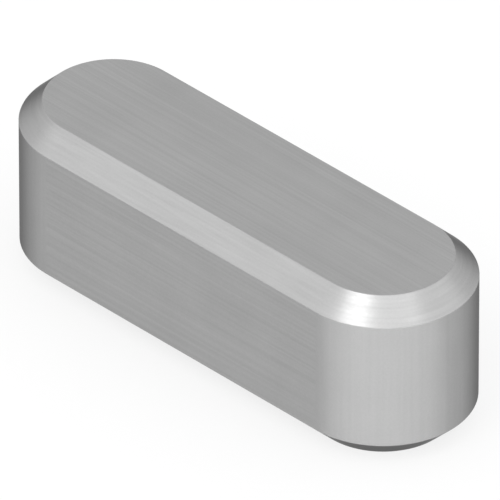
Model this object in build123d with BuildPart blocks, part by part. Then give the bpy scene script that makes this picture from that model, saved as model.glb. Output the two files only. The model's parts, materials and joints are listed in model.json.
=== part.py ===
"""Parallel key, form A of DIN 6885-1 (ISO 773): a steel bar of square section that locks a hub to a shaft.

The key lies flat. Its lower half sits in the slot milled into the shaft, its upper half stands in the
keyway of the hub, and the two long sides carry the torque. Both ends are fully rounded, because the slot
is cut with an end mill as wide as the key. A 45 degree chamfer runs all the way round the top and the
bottom, so that the edges clear the radii in the corners of the slot.

Frame: millimetres, +Z up, +X along the key. The origin is the middle of the bottom face, which rests on
the floor of the shaft's slot.
"""

import os

from build123d import *

# Driving dimensions: the size 2 x 2 x 6 of the standard.
key_width = 2.0  # across the two bearing sides
key_height = 2.0  # from the bottom face to the top face
key_length = 6.0  # over both rounded ends
edge_chamfer = 0.25  # leg of the 45 degree chamfer, the largest that the standard allows here

# The ends are as round as the slot's own: each is half a circle across the full width.
end_radius = key_width / 2
end_centre_distance = key_length - 2 * end_radius

with BuildPart() as parallel_key:
    with BuildSketch(Plane.XY) as outline:
        SlotCenterToCenter(end_centre_distance, key_width)
    extrude(amount=key_height)

    # Every edge that bounds the bottom or the top face: two straights and two half circles each.
    bottom_face = parallel_key.faces().sort_by(Axis.Z).first
    top_face = parallel_key.faces().sort_by(Axis.Z).last
    chamfer(bottom_face.edges() + top_face.edges(), length=edge_chamfer)

parallel_key.part.label = "parallel_key"

os.makedirs("parts", exist_ok=True)
export_step(parallel_key.part, "parts/parallel_key.step")
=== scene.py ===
"""Looks of a round-ended parallel key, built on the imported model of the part.

The key is a short square bar of cold-drawn steel with both ends milled round and every edge chamfered. It
lies flat on a pale board under soft lamps. Its visible form is one closed surface, worked out from the sizes
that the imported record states, with the chamfer's own edges broken as tumbling leaves them.

Lengths are in metres unless a name says otherwise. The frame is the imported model's: +X along the key, +Y
square to its bearing sides, +Z up, and the origin in the middle of the bottom face.
"""

import json
import logging
import math
from dataclasses import dataclass
from enum import Enum

import bmesh
import bpy
import numpy as np
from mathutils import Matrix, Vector


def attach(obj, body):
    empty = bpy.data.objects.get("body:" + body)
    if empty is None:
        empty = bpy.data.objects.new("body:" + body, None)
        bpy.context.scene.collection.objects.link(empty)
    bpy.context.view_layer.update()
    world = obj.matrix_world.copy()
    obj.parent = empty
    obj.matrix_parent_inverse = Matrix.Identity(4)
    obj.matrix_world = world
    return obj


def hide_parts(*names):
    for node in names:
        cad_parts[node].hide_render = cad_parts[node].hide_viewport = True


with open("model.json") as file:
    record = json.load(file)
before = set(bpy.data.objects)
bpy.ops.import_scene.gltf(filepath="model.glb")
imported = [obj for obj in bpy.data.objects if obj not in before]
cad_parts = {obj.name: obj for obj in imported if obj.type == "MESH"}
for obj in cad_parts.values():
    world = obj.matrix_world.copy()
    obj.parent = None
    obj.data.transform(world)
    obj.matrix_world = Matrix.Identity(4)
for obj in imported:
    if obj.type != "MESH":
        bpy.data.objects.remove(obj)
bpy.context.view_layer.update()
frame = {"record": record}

MM = 0.001
MICRON = 0.000001
WHITE = "#FFFFFF"
LOG = logging.getLogger("parallel_key")


def linear(hex_colour: str) -> tuple[float, float, float, float]:
    """Turns an sRGB hex colour to linear RGBA.

    Formula: a channel up to 0.04045 is divided by 12.92, and a larger one is (channel + 0.055) / 1.055 to
    the power 2.4.

    Args:
        hex_colour: the colour as "#RRGGBB".

    Returns:
        The linear red, green and blue, with an alpha of 1.
    """
    channels = np.array([int(hex_colour[i : i + 2], 16) for i in (1, 3, 5)]) / 255.0
    low, high = channels / 12.92, ((channels + 0.055) / 1.055) ** 2.4
    red, green, blue = np.where(channels <= 0.04045, low, high)
    return float(red), float(green), float(blue), 1.0


def add_node(
    tree: bpy.types.NodeTree,
    kind: str,
    inputs: dict[str | int, object] | None = None,
    output: str = "",
    **settings: str,
) -> bpy.types.NodeSocket | None:
    """Adds one node with its settings and links.

    Args:
        tree: the node tree that the node joins.
        kind: the node's type name.
        inputs: for each input, by name or number, its value or the socket that feeds it.
        output: the name of the output to return, or nothing for the first that is in use.
        settings: properties of the node itself, such as its operation.

    Returns:
        That output, or None where the node has none.
    """
    node = tree.nodes.new(kind)
    for name, value in settings.items():
        setattr(node, name, value)
    for name, value in (inputs or {}).items():
        found = [s for s in node.inputs if s.enabled and s.name == name]
        socket = found[0] if found else node.inputs[name]
        if isinstance(value, bpy.types.NodeSocket):
            tree.links.new(value, socket)
        else:
            socket.default_value = value
    return next((s for s in node.outputs if s.enabled and output in ("", s.name)), None)


def emptied_tree(owner: bpy.types.Material | bpy.types.World) -> bpy.types.NodeTree:
    """Gives a material or a world a node tree with nothing in it.

    Args:
        owner: the material or the world.

    Returns:
        Its empty node tree.
    """
    owner.use_nodes = True
    owner.node_tree.nodes.clear()
    return owner.node_tree


# Finish of the steel -------------------------------------------------------------------------------------


class Blend(Enum):
    """What a blend mixes, each by the word that the mixing node has for it."""

    VALUES = "FLOAT"
    COLOURS = "RGBA"


@dataclass(frozen=True)
class DrawnKeySteel:
    """Cold-drawn carbon steel of key grade C45, milled round at the ends and tumbled.

    The eye sees a neutral mid-grey metal with a satin sheen. Drawing leaves fine lines along the bar. The
    end mill leaves upright marks round the ends, and the chamfer cutter leaves marks that run with the edge.
    The chamfers are the smoothest, so that a lamp shows in them as a short bright blade. Tumbling gives it
    all one tone and a fine even grain, and rounds the chamfer's edges a little.

    The finest scratches are too fine to draw. On the upright wall they run level, from the drawing die on
    the sides and from the mill's turning teeth on the ends, and they stretch a reflection up and down.
    """

    name: str
    anisotropy: float  # how far the scratches stretch a reflection: 0 is not at all, and 1 is the most
    anisotropy_turn: float = 0.25  # in turns, from the level direction that the shader takes on a wall
    dark: str = "#A3A3A3"  # at the bottom of the marks
    light: str = "#B3B3B3"  # on their crests
    tumbled: str = "#ABABAB"  # on the broken edges, which tumbling hits most and makes even
    metallic: float = 1.0
    # The grain shadows itself, so that metal seen at a low angle looks darker, not brighter.
    grazing_tint: str = "#7C7C7C"
    roughness: float = 0.37
    chamfer_roughness: float = 0.3
    tumbled_roughness: float = 0.62
    roughness_swing: float = 0.08  # from the lightest and smoothest spot to the darkest and roughest

    # Real drawing lines lie 2 to 10 microns apart. They are drawn a few times coarser, so that they show.
    drawn_mm: tuple[float, float, float] = (2.5, 0.030, 0.030)
    # The end mill's feed marks, and the slower waviness of its path.
    feed_mm: tuple[float, float, float] = (0.055, 2.2, 1.0)
    wave_mm: tuple[float, float, float] = (0.31, 9.0, 1.0)
    # The chamfer cutter's marks run with the edge.
    cutter_mm: tuple[float, float, float] = (0.9, 0.035, 1.0)
    # Tumbling stones leave a fine grain all over, in places a little heavier than in others.
    grain_mm: tuple[float, float, float] = (0.022, 0.022, 0.022)
    cloud_mm: tuple[float, float, float] = (0.7, 0.7, 0.7)

    noise_detail: float = 2.0  # how many times the marks carry finer ones
    noise_span: tuple[float, float] = (0.25, 0.75)  # what the noise reaches, which is spread over 0 to 1
    wave_share: float = 0.5  # of the waviness in the mill's marks, against the feed marks
    lines_share: float = 0.5  # of each kind of mark in the tone
    grain_share: float = 0.25
    cloud_share: float = 0.25
    lines_micron: float = 0.8  # height of the lines and cutter marks
    grain_micron: float = 0.2

    def material(self) -> bpy.types.Material:
        """Builds the steel.

        Returns:
            The material. It reads the piece's Object coordinates, its UV map "lay" in millimetres, and its
            face attributes "milled", "chamfered" and "broken".
        """
        material = bpy.data.materials.new(self.name)
        tree = emptied_tree(material)
        place = add_node(tree, "ShaderNodeTexCoord", output="Object")
        bar = add_node(tree, "ShaderNodeMapping", {"Vector": place, "Scale": (1 / MM, 1 / MM, 1 / MM)})
        lay = add_node(tree, "ShaderNodeUVMap", uv_map="lay")
        milled, chamfered, broken = (
            add_node(tree, "ShaderNodeAttribute", output="Fac", attribute_name=name)
            for name in ("milled", "chamfered", "broken")
        )

        drawn = self._marks(tree, bar, self.drawn_mm)
        feed = self._marks(tree, lay, self.feed_mm)
        wave = self._marks(tree, lay, self.wave_mm)
        mill = self._blend(tree, self.wave_share, feed, wave)
        cutter = self._marks(tree, lay, self.cutter_mm)
        lines = self._blend(tree, chamfered, self._blend(tree, milled, drawn, mill), cutter)
        grain = self._marks(tree, bar, self.grain_mm)
        cloud = self._marks(tree, bar, self.cloud_mm)

        tone = self._sum(
            tree, (lines, self.lines_share), (grain, self.grain_share), (cloud, self.cloud_share)
        )
        relief = self._sum(tree, (lines, self.lines_micron), (grain, self.grain_micron))
        skin = self._blend(tree, tone, linear(self.dark), linear(self.light), Blend.COLOURS)
        colour = self._blend(tree, broken, skin, linear(self.tumbled), Blend.COLOURS)
        face_roughness = self._blend(tree, chamfered, self.roughness, self.chamfer_roughness)
        base_roughness = self._blend(tree, broken, face_roughness, self.tumbled_roughness)
        swing = self._sum(tree, (tone, -self.roughness_swing), (base_roughness, 1.0))
        roughness = add_node(tree, "ShaderNodeMath", {0: swing, 1: self.roughness_swing / 2}, operation="ADD")
        normal = add_node(tree, "ShaderNodeBump", {"Height": relief, "Distance": MICRON})
        steel_shader = add_node(
            tree,
            "ShaderNodeBsdfPrincipled",
            {
                "Base Color": colour,
                "Metallic": self.metallic,
                "Roughness": roughness,
                "Specular Tint": linear(self.grazing_tint),
                "Anisotropic": self.anisotropy,
                "Anisotropic Rotation": self.anisotropy_turn,
                "Normal": normal,
            },
        )
        add_node(tree, "ShaderNodeOutputMaterial", {"Surface": steel_shader})
        return material

    def _marks(
        self, tree: bpy.types.NodeTree, place_mm: bpy.types.NodeSocket, size_mm: tuple[float, float, float]
    ) -> bpy.types.NodeSocket:
        """Smooth noise whose spots measure size_mm along each axis, spread over 0 to 1.

        Args:
            tree: the material's node tree.
            place_mm: the coordinates to read, in millimetres.
            size_mm: a spot's size along the first, second and third coordinate.

        Returns:
            The height of the marks, 0.5 on average.
        """
        scaled = add_node(
            tree, "ShaderNodeMapping", {"Vector": place_mm, "Scale": tuple(1 / s for s in size_mm)}
        )
        pattern = {"Vector": scaled, "Scale": 1.0, "Detail": self.noise_detail}
        noise = add_node(tree, "ShaderNodeTexNoise", pattern)
        low, high = self.noise_span
        return add_node(tree, "ShaderNodeMapRange", {"Value": noise, "From Min": low, "From Max": high})

    @staticmethod
    def _blend(
        tree: bpy.types.NodeTree,
        share: bpy.types.NodeSocket | float,
        first: bpy.types.NodeSocket | float | tuple[float, ...],
        second: bpy.types.NodeSocket | float | tuple[float, ...],
        blend: Blend = Blend.VALUES,
    ) -> bpy.types.NodeSocket:
        """Mixes two values or colours: the first where share is 0, and the second where it is 1."""
        mix = {"Factor": share, "A": first, "B": second}
        return add_node(tree, "ShaderNodeMix", mix, data_type=blend.value)

    @staticmethod
    def _sum(tree: bpy.types.NodeTree, *terms: tuple[bpy.types.NodeSocket, float]) -> bpy.types.NodeSocket:
        """Adds up sockets, each times its weight.

        Args:
            tree: the material's node tree.
            terms: each socket with its weight.

        Returns:
            The sum.
        """
        total: bpy.types.NodeSocket | float = 0.0
        for socket, weight in terms:
            total = add_node(
                tree, "ShaderNodeMath", {0: socket, 1: weight, 2: total}, operation="MULTIPLY_ADD"
            )
        return total


# Form of the key -----------------------------------------------------------------------------------------


@dataclass(frozen=True)
class KeySizes:
    """Sizes of the key, in metres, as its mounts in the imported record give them."""

    half_straight: float  # from the middle to the axis of a round end
    radius: float  # of the round ends, and half the width
    height: float
    chamfer: float  # leg of the 45 degree chamfer

    @classmethod
    def from_record(cls, record: dict) -> "KeySizes":
        """Reads the sizes from the mounts.

        Args:
            record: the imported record.

        Returns:
            The key's sizes.
        """
        mounts = {mount["name"]: mount for mount in record["mounts"]}
        front_end = mounts["front_round_end"]
        height = mounts["hub_face"]["pos_m"][2] - mounts["seat_face"]["pos_m"][2]
        return cls(
            half_straight=front_end["pos_m"][0],
            radius=front_end["dims"]["r_mm"] * MM,
            height=height,
            chamfer=(height - front_end["dims"]["length_mm"] * MM) / 2,
        )

    @property
    def length(self) -> float:
        """Length over both round ends."""
        return 2 * (self.half_straight + self.radius)


class Face(Enum):
    """Faces that the section crosses from the bottom up, each by how far its outside leans up, in degrees."""

    BOTTOM = -90.0
    LOWER_CHAMFER = -45.0
    WALL = 0.0
    UPPER_CHAMFER = 45.0
    TOP = 90.0


@dataclass(frozen=True)
class Outline:
    """The key seen from above: all points that lie one radius away from a straight line on the X axis."""

    foot: np.ndarray  # X of the nearest point of that line
    heading: np.ndarray  # direction from there outwards, in radians from +X
    run: np.ndarray  # distance covered along the outline, with the closing one last
    milled: np.ndarray  # for each step, whether it is on a round end

    @classmethod
    def trace(cls, sizes: KeySizes, end_steps: int, side_steps: int) -> "Outline":
        """Goes round the key from the -Y end of the front round, anticlockwise.

        Formula: round an end the foot stays and the heading turns by half a turn in even steps, and along a
        side the heading stays and the foot moves from one end's axis to the other's in even steps.

        Args:
            sizes: the key's sizes.
            end_steps: steps round one end.
            side_steps: steps along one side.

        Returns:
            The outline, one entry for each step's start.
        """
        reach = sizes.half_straight
        turn = np.pi * np.arange(end_steps) / end_steps
        travel = 2 * reach * np.arange(side_steps) / side_steps
        stay, still = np.full(end_steps, reach), np.full(side_steps, np.pi / 2)
        foot = np.concatenate([stay, reach - travel, -stay, travel - reach])
        heading = np.concatenate([turn - np.pi / 2, still, turn + np.pi / 2, still + np.pi])
        steps = [end_steps, side_steps, end_steps, side_steps]
        stride = np.repeat([np.pi * sizes.radius / end_steps, 2 * reach / side_steps] * 2, steps)
        run = np.concatenate([[0.0], np.cumsum(stride)])
        return cls(foot, heading, run, np.repeat([1.0, 0.0, 1.0, 0.0], steps))


@dataclass(frozen=True)
class Section:
    """The key's section from the middle of the bottom, out, up the wall and in to the middle of the top."""

    out: np.ndarray  # distance outwards, a row for each point and a column for each step of the outline
    up: np.ndarray  # height, likewise
    lean: np.ndarray  # how far the outside of each row leans up, in radians
    faces: list[Face | None]  # for each band between two rows its face, or None on a broken edge

    @classmethod
    def trace(
        cls, sizes: KeySizes, radii: np.ndarray, edge_steps: int, face_steps: dict[Face, int]
    ) -> "Section":
        """Goes along the section.

        Formula: where two faces meet, an arc of the break radius touches both. Its centre lies that radius
        inside them, and along it the outside leans evenly from the one face's angle to the other's. The
        faces between the arcs are straight and evenly divided.

        Args:
            sizes: the key's sizes.
            radii: the break radius, a row for each of the four edges and a column for each step.
            edge_steps: steps round one broken edge.
            face_steps: steps across each face.

        Returns:
            The section.
        """
        corners = [
            (sizes.radius - sizes.chamfer, 0.0),
            (sizes.radius, sizes.chamfer),
            (sizes.radius, sizes.height - sizes.chamfer),
            (sizes.radius - sizes.chamfer, sizes.height),
        ]
        leans = [math.radians(face.value) for face in Face]
        rise = np.linspace(0.0, 1.0, edge_steps + 1)[:, None]
        arcs_out, arcs_up, arcs_lean = [], [], []
        for (out, up), radius, low, high in zip(corners, radii, leans, leans[1:]):
            mean, depth = (low + high) / 2, radius / math.cos((high - low) / 2)
            lean = low + (high - low) * rise
            arcs_out.append(out - depth * math.cos(mean) + radius * np.cos(lean))
            arcs_up.append(up - depth * math.sin(mean) + radius * np.sin(lean))
            arcs_lean.append(lean[:, 0])

        middle = np.zeros((1, radii.shape[1]))
        arcs_out = [middle, *arcs_out, middle]
        arcs_up = [middle, *arcs_up, middle + sizes.height]
        rows_out, rows_up, rows_lean, faces = [], [], [], []
        for i, face in enumerate(Face):
            steps = face_steps[face]
            rows_out.append(np.linspace(arcs_out[i][-1], arcs_out[i + 1][0], steps, endpoint=False))
            rows_up.append(np.linspace(arcs_up[i][-1], arcs_up[i + 1][0], steps, endpoint=False))
            rows_lean.append(np.full(steps, leans[i]))
            faces += [face] * steps
            if face is not Face.TOP:
                rows_out.append(arcs_out[i + 1][:-1])
                rows_up.append(arcs_up[i + 1][:-1])
                rows_lean.append(arcs_lean[i][:-1])
                faces += [None] * edge_steps
        rows_out.append(arcs_out[-1])
        rows_up.append(arcs_up[-1])
        rows_lean.append([leans[-1]])
        return cls(np.concatenate(rows_out), np.concatenate(rows_up), np.concatenate(rows_lean), faces)


@dataclass
class KeyBody:
    """The key itself: one closed surface, its section carried round its outline."""

    sizes: KeySizes
    finish: DrawnKeySteel = DrawnKeySteel("drawn_key_steel", anisotropy=0.0)
    # The wall's level scratches add to the shadowing at a low angle.
    wall_finish: DrawnKeySteel = DrawnKeySteel(
        "drawn_key_steel_wall", anisotropy=0.87, grazing_tint="#606060"
    )
    name: str = "key_body"
    break_radius: float = 0.012 * MM  # what tumbling makes of the chamfer's sharp edges
    break_swing: float = 0.22  # how far that radius strays along an edge, as a share of it
    break_waves: int = 36  # the most waves of that straying in one round of the key
    seed: int = 6885
    end_steps: int = 96
    side_steps: int = 80
    edge_steps: int = 6
    flat_steps: int = 4
    chamfer_steps: int = 3
    wall_steps: int = 10
    merge_within: float = 0.01 * MICRON  # far less than any edge of the mesh

    def build(self) -> bpy.types.Object:
        """Builds the piece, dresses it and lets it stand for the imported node.

        Returns:
            The piece.
        """
        mesh = self._mesh()
        mesh.materials.append(self.finish.material())
        mesh.materials.append(self.wall_finish.material())
        piece = bpy.data.objects.new(self.name, mesh)
        bpy.context.scene.collection.objects.link(piece)
        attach(piece, "root")
        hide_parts("parallel_key")
        LOG.info("%s: %d faces, %.2f mm long", self.name, len(mesh.polygons), self.sizes.length / MM)
        return piece

    def _break_radii(self, outline: Outline) -> np.ndarray:
        """Radius of each broken edge along the outline.

        Formula: the mean radius times 1 plus a sum of cosines of whole waves round the key, each with a
        phase of its own and a height that falls with the root of its number.

        Args:
            outline: the outline that the edges follow.

        Returns:
            One row for each of the four edges, one column for each step.
        """
        draw = np.random.default_rng(self.seed)
        waves = np.arange(2, self.break_waves + 1)
        phase = draw.uniform(0, 2 * np.pi, (4, waves.size, 1))
        turn = 2 * np.pi * outline.run[:-1] / outline.run[-1]
        ripple = (np.cos(waves[:, None] * turn + phase) / np.sqrt(waves)[:, None]).sum(axis=1)
        return self.break_radius * (1 + self.break_swing * ripple / ripple.std())

    def _mesh(self) -> bpy.types.Mesh:
        """Carries the section round the outline.

        Formula: a point lies at the outline's foot plus its distance outwards along the heading, at its own
        height, and its normal leans up by the section's angle from that heading. The first and the last row
        fall on the line between the ends' axes, where their doubles are merged, which closes the surface.

        Returns:
            The mesh, with a UV map "lay" in millimetres: U runs round the key, and V up along its section.
            Its wall takes the second material, and all else the first.
        """
        outline = Outline.trace(self.sizes, self.end_steps, self.side_steps)
        face_steps = {
            Face.BOTTOM: self.flat_steps,
            Face.LOWER_CHAMFER: self.chamfer_steps,
            Face.WALL: self.wall_steps,
            Face.UPPER_CHAMFER: self.chamfer_steps,
            Face.TOP: self.flat_steps,
        }
        section = Section.trace(self.sizes, self._break_radii(outline), self.edge_steps, face_steps)
        across, aside = np.cos(outline.heading), np.sin(outline.heading)
        points = np.stack([outline.foot + section.out * across, section.out * aside, section.up], axis=-1)
        level = np.cos(section.lean)[:, None]
        tilt = np.broadcast_to(np.sin(section.lean)[:, None], section.out.shape)
        normals = np.stack([level * across, level * aside, tilt], axis=-1)

        rows, columns = section.out.shape
        row, column = np.meshgrid(np.arange(rows - 1), np.arange(columns), indexing="ij")
        corners = [(row, column), (row, column + 1), (row + 1, column + 1), (row + 1, column)]
        quads = np.stack([r * columns + c % columns for r, c in corners], axis=-1).reshape(-1, 4)
        climb = np.hypot(np.diff(section.out, axis=0), np.diff(section.up, axis=0)).mean(axis=1)
        height = np.concatenate([[0.0], np.cumsum(climb)])
        lay = np.stack([np.stack([outline.run[c], height[r]], axis=-1) for r, c in corners], axis=-2) / MM

        mesh = bpy.data.meshes.new(self.name)
        mesh.from_pydata(points.reshape(-1, 3), [], quads.tolist())
        mesh.uv_layers.new(name="lay").data.foreach_set("uv", lay.ravel())
        self._mark_faces(mesh, section, outline)
        self._close(mesh, normals)
        return mesh

    @staticmethod
    def _mark_faces(mesh: bpy.types.Mesh, section: Section, outline: Outline) -> None:
        """Tells the steel how each face was made, and gives the wall the second material.

        Args:
            mesh: the mesh, its faces in rows up the section and in columns round the outline.
            section: the section that it was carried from.
            outline: the outline that it was carried round.
        """
        shape = (len(section.faces), outline.milled.size)
        wall, chamfered, broken = (
            np.broadcast_to([[face in kinds] for face in section.faces], shape)
            for kinds in ([Face.WALL], [Face.LOWER_CHAMFER, Face.UPPER_CHAMFER], [None])
        )
        masks = {"milled": wall * outline.milled, "chamfered": chamfered, "broken": broken}
        for label, mask in masks.items():
            values = mask.astype(float).ravel()
            mesh.attributes.new(label, "FLOAT", "FACE").data.foreach_set("value", values)
        mesh.polygons.foreach_set("material_index", wall.astype(np.int32).ravel())

    def _close(self, mesh: bpy.types.Mesh, normals: np.ndarray) -> None:
        """Merges the points that fall together and gives the mesh the normals of its form.

        Args:
            mesh: the mesh to close.
            normals: the normal at each of its points, before they are merged.
        """
        carried = mesh.attributes.new("form_normal", "FLOAT_VECTOR", "POINT")
        carried.data.foreach_set("vector", normals.ravel())
        work = bmesh.new()
        work.from_mesh(mesh)
        bmesh.ops.remove_doubles(work, verts=work.verts, dist=self.merge_within)
        work.to_mesh(mesh)
        work.free()
        kept = np.zeros(len(mesh.vertices) * 3)
        mesh.attributes["form_normal"].data.foreach_get("vector", kept)
        mesh.shade_smooth()
        mesh.normals_split_custom_set_from_vertices(kept.reshape(-1, 3))
        mesh.attributes.remove(mesh.attributes["form_normal"])


# Studio --------------------------------------------------------------------------------------------------


def direction(azimuth: float, elevation: float) -> Vector:
    """Unit vector towards something that stands at an azimuth and elevation as seen from the key.

    Formula: azimuth 0 lies towards -Y and 90 towards +X, and the elevation is above the horizon.

    Args:
        azimuth: in degrees.
        elevation: in degrees.

    Returns:
        The direction.
    """
    turn, rise = math.radians(azimuth), math.radians(elevation)
    return Vector((math.sin(turn) * math.cos(rise), -math.cos(turn) * math.cos(rise), math.sin(rise)))


@dataclass(frozen=True)
class SoftBox:
    """A flat soft lamp that faces the key from further off than the camera."""

    name: str
    azimuth: float
    elevation: float
    wide: float  # the angles that it fills as seen from the key, in degrees
    high: float
    radiance: float  # 1 is as bright as the white of the board
    distance: float = 0.4

    def build(self, target: Vector) -> bpy.types.Object:
        """Puts the lamp up.

        Formula: its sides are twice the distance times the tangent of half the angle that they fill, and its
        power is its radiance times its area times pi.

        Args:
            target: the point that it faces.

        Returns:
            The lamp.
        """
        lamp = bpy.data.lights.new(self.name, "AREA")
        lamp.shape = "RECTANGLE"
        lamp.size, lamp.size_y = (
            2 * self.distance * math.tan(math.radians(angle) / 2) for angle in (self.wide, self.high)
        )
        lamp.energy = self.radiance * lamp.size * lamp.size_y * math.pi
        box = bpy.data.objects.new(self.name, lamp)
        bpy.context.scene.collection.objects.link(box)
        towards = direction(self.azimuth, self.elevation)
        box.location = target + towards * self.distance
        box.rotation_mode = "QUATERNION"
        box.rotation_quaternion = towards.to_track_quat("Z", "Y")
        box.visible_camera = False
        LOG.info("%s: %.0f by %.0f mm", self.name, lamp.size / MM, lamp.size_y / MM)
        return box


# The key lamp makes the bright blade on the front round's chamfer. The strip gives the front round its smooth
# shade, because the wall's level scratches stretch it up and down. The faint wide ones tell the top and the
# chamfers apart.
SOFT_BOXES = (
    SoftBox("key_lamp", azimuth=1.5, elevation=51, wide=23, high=24, radiance=2.15),
    SoftBox("front_strip", azimuth=45, elevation=5, wide=136, high=9, radiance=7.4),
    SoftBox("front_high", azimuth=55, elevation=50, wide=56, high=40, radiance=0.68),
    SoftBox("left_high", azimuth=-40, elevation=38, wide=40, high=40, radiance=0.34),
    SoftBox("right_high", azimuth=125, elevation=40, wide=56, high=40, radiance=0.32),
)


@dataclass(frozen=True)
class MattPaint:
    """Matt emulsion paint, rolled on thin.

    The eye sees a plain white without sheen, both straight on and mirrored in the metal, and the soft shadow
    that the key casts on it. What the paint itself sends back to the key is a mid grey's share of the light.
    """

    name: str = "matt_paint"
    colour: str = "#808080"
    glow: float = 0.74  # lifts that grey to white for the eye, and lights nothing
    roughness: float = 0.9

    def material(self) -> bpy.types.Material:
        """Builds the paint.

        Formula: it glows on camera, glossy and transmission rays only, so that the board is as white in the
        metal's reflections as it is behind the key.

        Returns:
            The material.
        """
        material = bpy.data.materials.new(self.name)
        tree = emptied_tree(material)
        seen, mirrored, refracted = (
            add_node(tree, "ShaderNodeLightPath", output=ray)
            for ray in ("Is Camera Ray", "Is Glossy Ray", "Is Transmission Ray")
        )
        indirect = add_node(tree, "ShaderNodeMath", {0: mirrored, 1: refracted}, operation="MAXIMUM")
        shown = add_node(tree, "ShaderNodeMath", {0: seen, 1: indirect}, operation="MAXIMUM")
        glow = add_node(tree, "ShaderNodeMath", {0: shown, 1: self.glow}, operation="MULTIPLY")
        paint = add_node(
            tree,
            "ShaderNodeBsdfPrincipled",
            {
                "Base Color": linear(self.colour),
                "Roughness": self.roughness,
                "Specular IOR Level": 0.0,
                "Emission Color": linear(WHITE),
                "Emission Strength": glow,
            },
        )
        add_node(tree, "ShaderNodeOutputMaterial", {"Surface": paint})
        return material


@dataclass(frozen=True)
class Studio:
    """The board that the key lies on, the light of the white room round it, and the lamps."""

    paint: MattPaint = MattPaint()
    lamps: tuple[SoftBox, ...] = SOFT_BOXES
    board_size: float = 1.2
    board_gap: float = 2 * MICRON  # keeps the board's surface just clear of the key's bottom face
    room_level: float = 1.0

    def build(self, target: Vector) -> None:
        """Builds the board, the room's light and the lamps.

        Args:
            target: the point that the lamps face.
        """
        self._board()
        self._room()
        for lamp in self.lamps:
            lamp.build(target)

    def _board(self) -> None:
        """Lays the painted board just under the key."""
        half = self.board_size / 2
        corners = [(-half, -half), (half, -half), (half, half), (-half, half)]
        mesh = bpy.data.meshes.new("board")
        mesh.from_pydata([(x, y, -self.board_gap) for x, y in corners], [], [(0, 1, 2, 3)])
        mesh.materials.append(self.paint.material())
        board = bpy.data.objects.new("board", mesh)
        bpy.context.scene.collection.objects.link(board)
        LOG.info("board: %.1f m square", self.board_size)

    def _room(self) -> None:
        """Fills the room with even white light."""
        world = bpy.data.worlds.new("room")
        tree = emptied_tree(world)
        light = {"Color": linear(WHITE), "Strength": self.room_level}
        background = add_node(tree, "ShaderNodeBackground", light)
        add_node(tree, "ShaderNodeOutputWorld", {"Surface": background})
        bpy.context.scene.world = world


@dataclass(frozen=True)
class LongLens:
    """The camera: far away with a long lens, so that parallel edges stay parallel."""

    azimuth: float = 45.0
    elevation: float = 35.0
    lens_mm: float = 1500.0
    sensor_mm: float = 36.0
    field_share: float = 0.8745  # width of the view at the key, as a share of the key's length
    aim_right: float = 0.023 * MM
    aim_up: float = 0.045 * MM

    def build(self, sizes: KeySizes) -> bpy.types.Object:
        """Sets the camera up.

        Formula: the distance is the lens times the view's width over the sensor's width.

        Args:
            sizes: the key's sizes.

        Returns:
            The camera.
        """
        back = direction(self.azimuth, self.elevation)
        right = direction(self.azimuth + 90, 0)
        up = back.cross(right)
        aim = Vector((0, 0, sizes.height / 2)) + right * self.aim_right + up * self.aim_up
        distance = self.lens_mm / self.sensor_mm * self.field_share * sizes.length
        lens = bpy.data.cameras.new("long_lens")
        lens.lens, lens.sensor_width = self.lens_mm, self.sensor_mm
        lens.clip_start, lens.clip_end = distance / 10, distance * 10
        camera = bpy.data.objects.new("long_lens", lens)
        bpy.context.scene.collection.objects.link(camera)
        camera.location = aim + back * distance
        camera.rotation_mode = "QUATERNION"
        camera.rotation_quaternion = back.to_track_quat("Z", "Y")
        bpy.context.scene.camera = camera
        LOG.info("long_lens: %.0f mm from %.2f m away", self.lens_mm, distance)
        return camera


def main() -> None:
    """Builds the key, the studio and the camera."""
    logging.basicConfig(level=logging.INFO, format="%(name)s: %(message)s")
    sizes = KeySizes.from_record(frame["record"])
    LongLens().build(sizes)
    KeyBody(sizes).build()
    Studio().build(Vector((0, 0, sizes.height / 2)))
    bpy.context.scene.view_settings.view_transform = "Standard"


if __name__ == "__main__":
    main()
